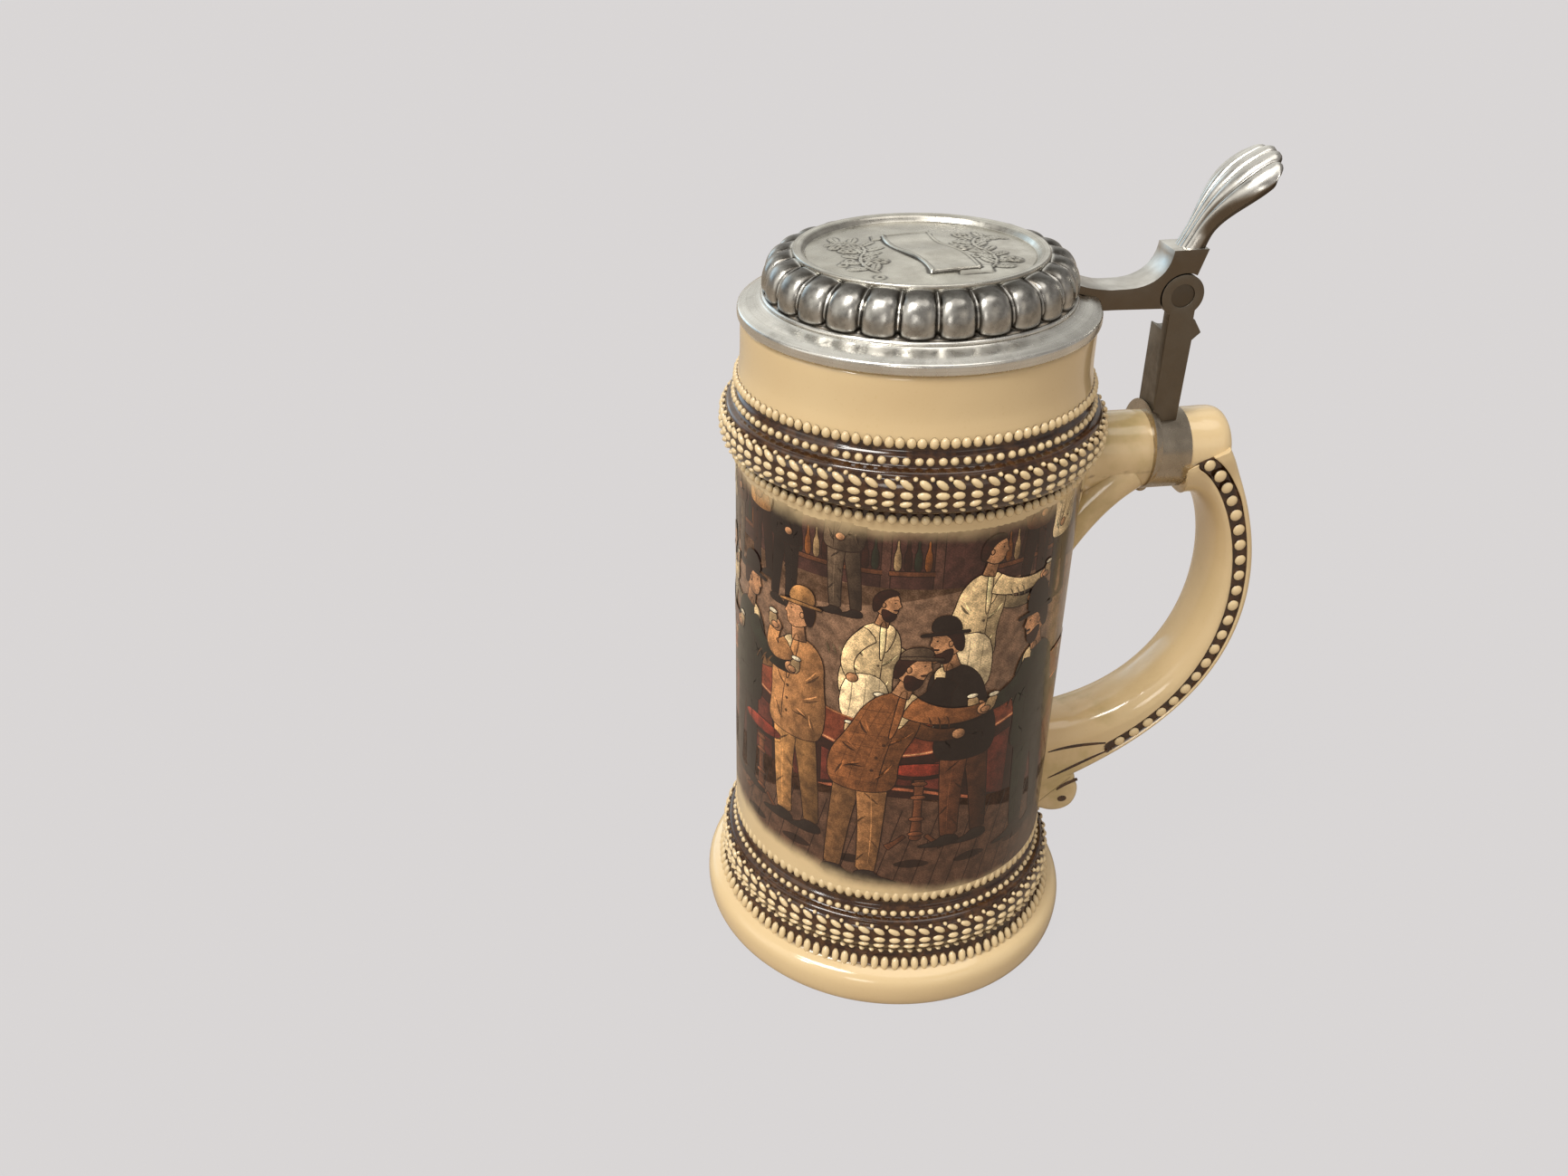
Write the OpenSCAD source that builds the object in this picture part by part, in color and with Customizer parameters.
// Lidded tavern stein: turned stoneware mug with a C handle, and a hinged
// metal lid with a thumblift. Millimetres, +Z up, origin at the centre of
// the foot, handle toward +X, hinge pin along Y. The lid is shown closed.

/* [Mug] */
// height of the mouth rim above the table
rim_z = 192; // [150:1:230]
// outside radius of the straight wall
wall_r = 46; // [36:0.5:60]
// thickness of the wall
wall_t = 4.5; // [3:0.5:8]
// outside radius of the neck just below the lid
neck_r = 44.8; // [36:0.1:60]
// largest radius of the flared foot
foot_r = 55.4; // [46:0.2:70]
// radius of the flat ring the mug stands on
base_r = 52.5; // [40:0.5:65]
// height of the cavity floor above the table
floor_z = 9; // [5:0.5:20]
// radius of the laurel bands
band_r = 50; // [46:0.5:60]

/* [Handle] */
// width of the handle along Y
handle_w = 20.8; // [12:0.2:30]
// height of the axis of the round top arm
arm_z = 150; // [120:1:180]
// radius of the round top arm
arm_r = 10.6; // [7:0.1:16]
// how far the top arm reaches from the mug axis
arm_end_x = 87.5; // [75:0.5:110]

/* [Hinge] */
// distance of the hinge pin from the mug axis
hinge_x = 67.5; // [55:0.5:90]
// height of the hinge pin above the table
hinge_z = 194; // [150:1:235]
// radius of the hinge rings
knuckle_r = 5.5; // [4:0.1:9]
// radius of the hinge pin
pin_r = 3; // [1.5:0.1:4]
// running clearance around the pin
pin_gap = 0.06; // [0.01:0.01:0.1]
// width of the shank and lever along Y
lever_w = 10; // [6:0.5:16]
// free gap between the moving rings
ring_gap = 0.3; // [0.2:0.05:0.6]

/* [Lid] */
// radius of the lid flange
lid_r = 45.6; // [38:0.2:60]
// height of the vertical edge of the flange
lid_edge_h = 2.9; // [2:0.1:6]
// number of gadroon lobes around the dome
lobes = 26; // [16:1:40]
// radius of the foot of the dome
dome_r = 39; // [30:0.5:50]
// radius of the bezel round the medallion
bezel_r = 31; // [24:0.5:40]
// radius of the medallion
medal_r = 28.4; // [20:0.2:36]

/* [Hidden] */
$fn = 96;
lid_z = rim_z + 0.2;
edge_z = lid_z + lid_edge_h;
dome_z = edge_z + 2.2;
crown_z = dome_z + 9.4;
medal_z = crown_z + 0.6;
bore_r = wall_r - wall_t;
mouth_r = neck_r - 4.3;
half_w = handle_w / 2;
half_l = lever_w / 2;
split_y = -1.6;
band_in_r = arm_r - 1.2;
band_out_r = arm_r + 0.4;
band_x0 = 64.2;
band_x1 = 74.6;
steps = 28;
// control points of the C handle seen from the side: its outer edge, the inner
// edge of its side faces, and the middle of its rounded inner face
c_outer = [[85.2, 152.9], [96.2, 134.3], [121.2, 80.3], [55.9, 45.9]];
c_edge = [[73.6, 148], [93.9, 145.3], [113.9, 64.9], [44.5, 56.5]];
c_crown = [[76.2, 137.1], [88.5, 143.3], [103.1, 78.5], [55, 65.1]];

// point on a cubic curve through a and d, pulled toward b and c
function curve(a, b, c, d, t) =
  a * pow(1 - t, 3) + 3 * b * t * pow(1 - t, 2)
  + 3 * c * t * t * (1 - t) + d * pow(t, 3);
function curve_pts(a, b, c, d, n) = [for (i = [0:n]) curve(a, b, c, d, i / n)];
// stretch of the curve with control points p, from parameter t0 to t1
function path(p, t0, t1, n) =
  [for (i = [0:n]) curve(p[0], p[1], p[2], p[3], t0 + (t1 - t0) * i / n)];

// outside of the mug, from the foot to the mouth
module mug_profile() {
  polygon([
    [0, 0], [base_r, 0], [foot_r - 1.4, 2], [foot_r, 6.5], [foot_r - 0.3, 11],
    [foot_r - 1.8, 14], [band_r + 0.6, 17], [band_r - 0.8, 18.5],
    [band_r, 20.5], [band_r + 0.4, 23.5], [band_r - 0.5, 26.5],
    [wall_r + 1.8, 28.5], [wall_r + 1.2, 30], [wall_r + 1.6, 32.5],
    [wall_r + 1.2, 35], [wall_r + 1, 37], [wall_r, 40], [wall_r, 152],
    [wall_r + 1, 155], [wall_r + 1.3, 157.5], [wall_r + 2.2, 159.5],
    [band_r - 0.5, 161.5], [band_r, 164], [band_r - 0.4, 166.2],
    [wall_r + 2, 168.6], [wall_r + 0.8, 170], [wall_r + 0.9, 172.5],
    [wall_r + 0.1, 174], [wall_r - 0.1, 176], [neck_r + 0.3, 179],
    [neck_r, 186], [neck_r, rim_z - 1], [neck_r - 1, rim_z],
    [mouth_r + 1, rim_z], [0, rim_z]
  ]);
}

// space inside the mug
module cavity_profile() {
  polygon([
    [0, floor_z], [bore_r - 8, floor_z], [bore_r - 4, floor_z + 1],
    [bore_r - 1, floor_z + 4], [bore_r, floor_z + 8], [bore_r, 170],
    [mouth_r, 178], [mouth_r, rim_z - 1], [mouth_r + 1, rim_z],
    [mouth_r + 1, rim_z + 5], [0, rim_z + 5]
  ]);
}

module mug_body() {
  color([0.86, 0.76, 0.55])
    rotate_extrude()
      difference() {
        mug_profile();
        cavity_profile();
        // recess under the foot
        polygon([[0, -1], [46.5, -1], [46, 1.5], [44, 3], [0, 3]]);
      }
}

// C of the handle seen from the side. The inner edge is that of the side
// faces when bulge is 0, and moves toward the mug as bulge grows.
module handle_side(bulge) {
  polygon(concat(
    path(c_outer, 0, 1, steps),
    [[44, 40], [44, 56 + 8 * bulge]],
    path(c_edge * (1 - bulge) + c_crown * bulge, 1, 0, steps)));
}

module slab(width) {
  rotate([90, 0, 0])
    linear_extrude(width, center = true)
      children();
}

module handle_solid() {
  // C side, with its inner face rounded in steps
  slab(handle_w) handle_side(0);
  slab(handle_w - 2) handle_side(0.5);
  slab(handle_w - 4.6) handle_side(0.76);
  slab(handle_w - 9) handle_side(0.98);
  slab(handle_w - 14) handle_side(1.12);
  // round top arm with a rounded end
  translate([40, 0, arm_z])
    rotate([0, 90, 0])
      cylinder(h = arm_end_x - 3 - 40, r = arm_r);
  translate([0, 0, arm_z])
    rotate([0, 90, 0])
      rotate_extrude()
        polygon([
          [0, arm_end_x - 4], [arm_r, arm_end_x - 4], [arm_r - 0.4, arm_end_x - 1.8],
          [arm_r - 1.4, arm_end_x - 0.6], [arm_r - 3, arm_end_x], [0, arm_end_x]
        ]);
  // root under the top arm
  slab(handle_w - 3)
    polygon(concat(
      [[44, arm_z], [66, arm_z]],
      curve_pts([66, 139.6], [58, 136], [52, 129], [44, 116], 12)));
  // scroll under the lower end
  translate([52.6, 0, 37.5])
    rotate([90, 0, 0])
      cylinder(h = handle_w, r = 5.4, center = true);
  slab(handle_w)
    polygon([[44, 32.2], [52, 32.2], [57.5, 36], [58, 46], [44, 50]]);
}

module handle() {
  color([0.86, 0.76, 0.55])
    difference() {
      handle_solid();
      rotate_extrude() mug_profile();
      // waist that the metal band is cast round
      translate([band_x0, 0, arm_z])
        rotate([0, 90, 0])
          difference() {
            cylinder(h = band_x1 - band_x0, r = arm_r + 6);
            cylinder(h = band_x1 - band_x0, r = band_in_r);
          }
      // shallow channel in each side face
      for (s = [-1, 1])
        translate([0, s * (half_w + 0.2), 0])
          slab(2)
            handle_channel();
    }
}

// channel that holds the row of dots
module handle_channel() {
  polygon(concat(
    path([[83, 150.6], [94.2, 134.6], [118, 80.6], [58.5, 50.4]], 0, 0.98, steps),
    path([[76, 147.4], [94.2, 143.6], [114, 66.4], [45, 57.6]], 0.88, 0, steps)));
}

module handle_band() {
  color([0.62, 0.61, 0.58]) {
    difference() {
      union() {
        translate([band_x0, 0, arm_z])
          rotate([0, 90, 0])
            cylinder(h = band_x1 - band_x0, r = band_out_r);
        // raised collar on the mug side, highest above the arm
        translate([band_x0, 0, arm_z + 1.4])
          rotate([0, 90, 0])
            cylinder(h = 2, r1 = band_out_r + 1.2, r2 = band_out_r + 0.4);
        // casting button under the band
        translate([band_x0 + 2.4, 0, arm_z - band_out_r - 0.2])
          sphere(r = 1.9);
      }
      translate([band_x0 - 5, 0, arm_z])
        rotate([0, 90, 0])
          cylinder(h = band_x1 - band_x0 + 10, r = band_in_r);
    }
  }
}

// upright that carries the hinge
module shank() {
  x0 = hinge_x - 2.8;
  x1 = hinge_x + 3.8;
  top_z = hinge_z - 10.6;
  color([0.6, 0.59, 0.56])
    difference() {
      union() {
        slab(lever_w)
          polygon([
            [x0, arm_z + 6], [x1, arm_z + 6], [x1 + 0.5, top_z - 1.4],
            [x1 + 2.6, hinge_z - 10], [x1 + 0.4, hinge_z - 6.4], [x0, hinge_z - 6.4]
          ]);
        // near hinge ring
        translate([0, -half_l, 0])
          translate([hinge_x, 0, hinge_z])
            rotate([-90, 0, 0])
              cylinder(h = split_y + half_l, r = knuckle_r);
        translate([hinge_x - 2.8, -half_l, hinge_z - 7])
          cube([6.6, split_y + half_l, 6]);
      }
      // saddle that clears the lever ring
      translate([x0 - 5, split_y, top_z + 0.9])
        cube([20, lever_w, 20]);
      translate([hinge_x - 0.4, split_y, top_z + 3.1])
        rotate([-90, 0, 0])
          cylinder(h = lever_w, r = 3);
      // pin hole
      translate([hinge_x, -half_l - 1, hinge_z])
        rotate([-90, 0, 0])
          cylinder(h = lever_w + 2, r = pin_r);
      // seat on the band
      translate([band_x0 - 5, 0, arm_z])
        rotate([0, 90, 0])
          cylinder(h = 30, r = band_out_r);
      translate([band_x0, 0, arm_z + 1.4])
        rotate([0, 90, 0])
          cylinder(h = 2, r1 = band_out_r + 1.2, r2 = band_out_r + 0.4);
    }
}

module hinge_pin() {
  color([0.5, 0.49, 0.47])
    translate([hinge_x, 0, hinge_z])
      rotate([-90, 0, 0]) {
        translate([0, 0, -half_l + 0.25])
          cylinder(h = split_y + half_l - 0.25, r = pin_r);
        translate([0, 0, split_y])
          cylinder(h = half_l - split_y + 0.3, r = pin_r - pin_gap);
        // riveted head on the far side
        translate([0, 0, half_l + 0.3])
          cylinder(h = 0.9, r1 = pin_r + 0.8, r2 = pin_r - 0.2);
      }
}

module lid_flange() {
  lip_r = mouth_r - 0.7;
  color([0.66, 0.65, 0.62])
    rotate_extrude()
      polygon([
        [lip_r - 2.2, lid_z - 3], [lip_r - 0.3, lid_z - 3], [lip_r, lid_z - 2.6],
        [lip_r, lid_z], [lid_r - 0.3, lid_z], [lid_r, lid_z + 0.3],
        [lid_r - 0.1, edge_z - 0.3], [lid_r - 0.5, edge_z], [dome_r + 0.3, dome_z],
        [dome_r - 3, dome_z], [lip_r - 3.4, lid_z + 1.8], [lip_r - 2.2, lid_z]
      ]);
}

// outline of the dome wall between the flange and the bezel
module dome_profile() {
  polygon([
    [dome_r - 2.8, dome_z], [dome_r, dome_z], [dome_r, dome_z + 1],
    [dome_r - 0.1, dome_z + 3.6], [dome_r - 0.8, dome_z + 6.2],
    [dome_r - 2.3, dome_z + 8.2], [dome_r - 4.6, dome_z + 9.2],
    [bezel_r, crown_z], [bezel_r - 5, crown_z], [bezel_r - 5, crown_z - 1.4],
    [dome_r - 6, dome_z + 6.8], [dome_r - 3.6, dome_z + 4.2]
  ]);
}

module gadroon_dome() {
  lobe_r = 3.1415927 * (dome_r - 2.6) / lobes * 0.93;
  color([0.62, 0.61, 0.58]) {
    // smooth inner shell
    rotate_extrude()
      intersection() {
        dome_profile();
        translate([0, dome_z]) square([dome_r - 1.5, 20]);
      }
    // lobes standing out of the shell
    intersection() {
      rotate_extrude() dome_profile();
      translate([0, 0, dome_z])
        linear_extrude(8.6)
          for (i = [0:lobes - 1])
            rotate((i + 0.5) * 360 / lobes)
              translate([dome_r - lobe_r, 0])
                circle(r = lobe_r, $fn = 24);
    }
    // smooth ring at the foot of the lobes
    translate([0, 0, dome_z])
      rotate_extrude()
        polygon([[dome_r - 2.8, 0], [dome_r + 0.5, 0], [dome_r + 0.5, 0.4],
                 [dome_r, 0.9], [dome_r - 2.8, 0.9]]);
  }
}

module medallion_bezel() {
  color([0.7, 0.69, 0.66])
    translate([0, 0, crown_z])
      rotate_extrude()
        polygon([
          [medal_r - 1.2, 0], [bezel_r + 0.2, 0], [bezel_r + 0.3, 0.7],
          [bezel_r - 0.2, 1.3], [bezel_r - 1, 1.5], [medal_r + 0.5, 1.1],
          [medal_r, 0.6], [medal_r - 1.2, 0.6]
        ]);
}

module medallion() {
  color([0.6, 0.59, 0.55])
    translate([0, 0, medal_z])
      rotate_extrude()
        polygon([
          [0, 0], [medal_r - 0.05, 0], [medal_r - 0.05, 0.4], [20, 1.1],
          [12, 1.5], [0, 1.7]
        ]);
}

// side view of the lever, from the dome to the block over the hinge
module lever_profile() {
  arm_z0 = lid_z - 0.8;
  block_z = hinge_z + 11.8;
  polygon(concat(
    [[dome_r - 1, arm_z0 + 8.2], [dome_r - 1, edge_z - 1], [lid_r + 0.3, edge_z - 1],
     [lid_r + 0.3, arm_z0], [hinge_x - 4, arm_z0 - 0.5]],
    [[hinge_x + 2.4, hinge_z + 3.5], [hinge_x + 4.9, block_z], [hinge_x - 4, block_z]],
    curve_pts([hinge_x - 4, block_z], [hinge_x - 4.4, arm_z0 + 8],
              [hinge_x - 9, arm_z0 + 5.2], [hinge_x - 15, arm_z0 + 5.2], 12),
    curve_pts([lid_r + 3, arm_z0 + 5.2], [lid_r, arm_z0 + 5.4],
              [lid_r - 3, arm_z0 + 6.4], [dome_r - 1, arm_z0 + 8.2], 8)));
}

// outline of the lever from above, with a fishtail foot on the lid
module lever_plan() {
  polygon([
    [dome_r - 2, -8], [dome_r + 2, -7.4], [dome_r + 5, -6], [lid_r + 1, -5.2],
    [lid_r + 5, -half_l], [hinge_x + 8, -half_l], [hinge_x + 8, half_l],
    [lid_r + 5, half_l], [lid_r + 1, 5.2], [dome_r + 5, 6], [dome_r + 2, 7.4],
    [dome_r - 2, 8]
  ]);
}

module lever_arm() {
  color([0.64, 0.63, 0.6])
    difference() {
      union() {
        intersection() {
          slab(18) lever_profile();
          translate([0, 0, lid_z - 3]) linear_extrude(30) lever_plan();
        }
        translate([hinge_x, split_y + ring_gap, hinge_z])
          rotate([-90, 0, 0])
            cylinder(h = half_l - split_y - ring_gap, r = knuckle_r);
      }
      // room for the ring of the shank
      translate([hinge_x, -half_l - 1, hinge_z])
        rotate([-90, 0, 0])
          cylinder(h = split_y + half_l + 1 + ring_gap, r = knuckle_r + 0.4);
      // pin bore
      translate([hinge_x, -half_l - 1, hinge_z])
        rotate([-90, 0, 0])
          cylinder(h = lever_w + 2, r = pin_r);
      // seat on the flange and against the dome
      lid_flange();
      rotate_extrude()
        polygon([[0, lid_z - 5], [lid_r + 0.02, lid_z - 5], [lid_r + 0.02, edge_z - 0.3],
                 [dome_r + 0.3, dome_z], [dome_r + 0.5, dome_z], [dome_r + 0.5, dome_z + 0.4],
                 [dome_r, dome_z + 1], [dome_r - 0.2, dome_z + 3.2],
                 [dome_r - 1.2, dome_z + 5.6], [dome_r - 4, dome_z + 12], [0, dome_z + 12]]);
    }
}

// shell shaped thumb rest curling back over the hinge
module thumblift() {
  z0 = hinge_z + 11.8;
  tip_r = 10;
  front = curve_pts([hinge_x - 1.6, z0], [hinge_x + 3.4, z0 + 8],
                    [hinge_x + 6.4, z0 + 19], [hinge_x + 21.2, z0 + 22.8], 20);
  back = curve_pts([hinge_x + 4.4, z0], [hinge_x + 6, z0 + 6],
                   [hinge_x + 11, z0 + 14.6], [hinge_x + 21.6, z0 + 19.6], 20);
  color([0.66, 0.65, 0.62])
    intersection() {
      slab(24)
        polygon(concat(front, [for (i = [20:-1:0]) back[i]]));
      // fan shape seen from the front
      rotate([90, 0, 90])
        linear_extrude(120)
          polygon(concat(
            curve_pts([-4.4, z0], [-5, z0 + 8], [-8, z0 + 10], [-tip_r, z0 + 18], 10),
            [[-tip_r, z0 + 26], [tip_r, z0 + 26]],
            curve_pts([tip_r, z0 + 18], [8, z0 + 10], [5, z0 + 8], [4.4, z0], 10)));
      // rounded tip seen from above
      union() {
        translate([hinge_x - 8, -12, z0]) cube([19.9, 24, 30]);
        translate([hinge_x + 11.9, 0, z0]) cylinder(h = 30, r = tip_r);
      }
    }
}

mug_body();
handle();
handle_band();
shank();
hinge_pin();
lid_flange();
gadroon_dome();
medallion_bezel();
medallion();
lever_arm();
thumblift();
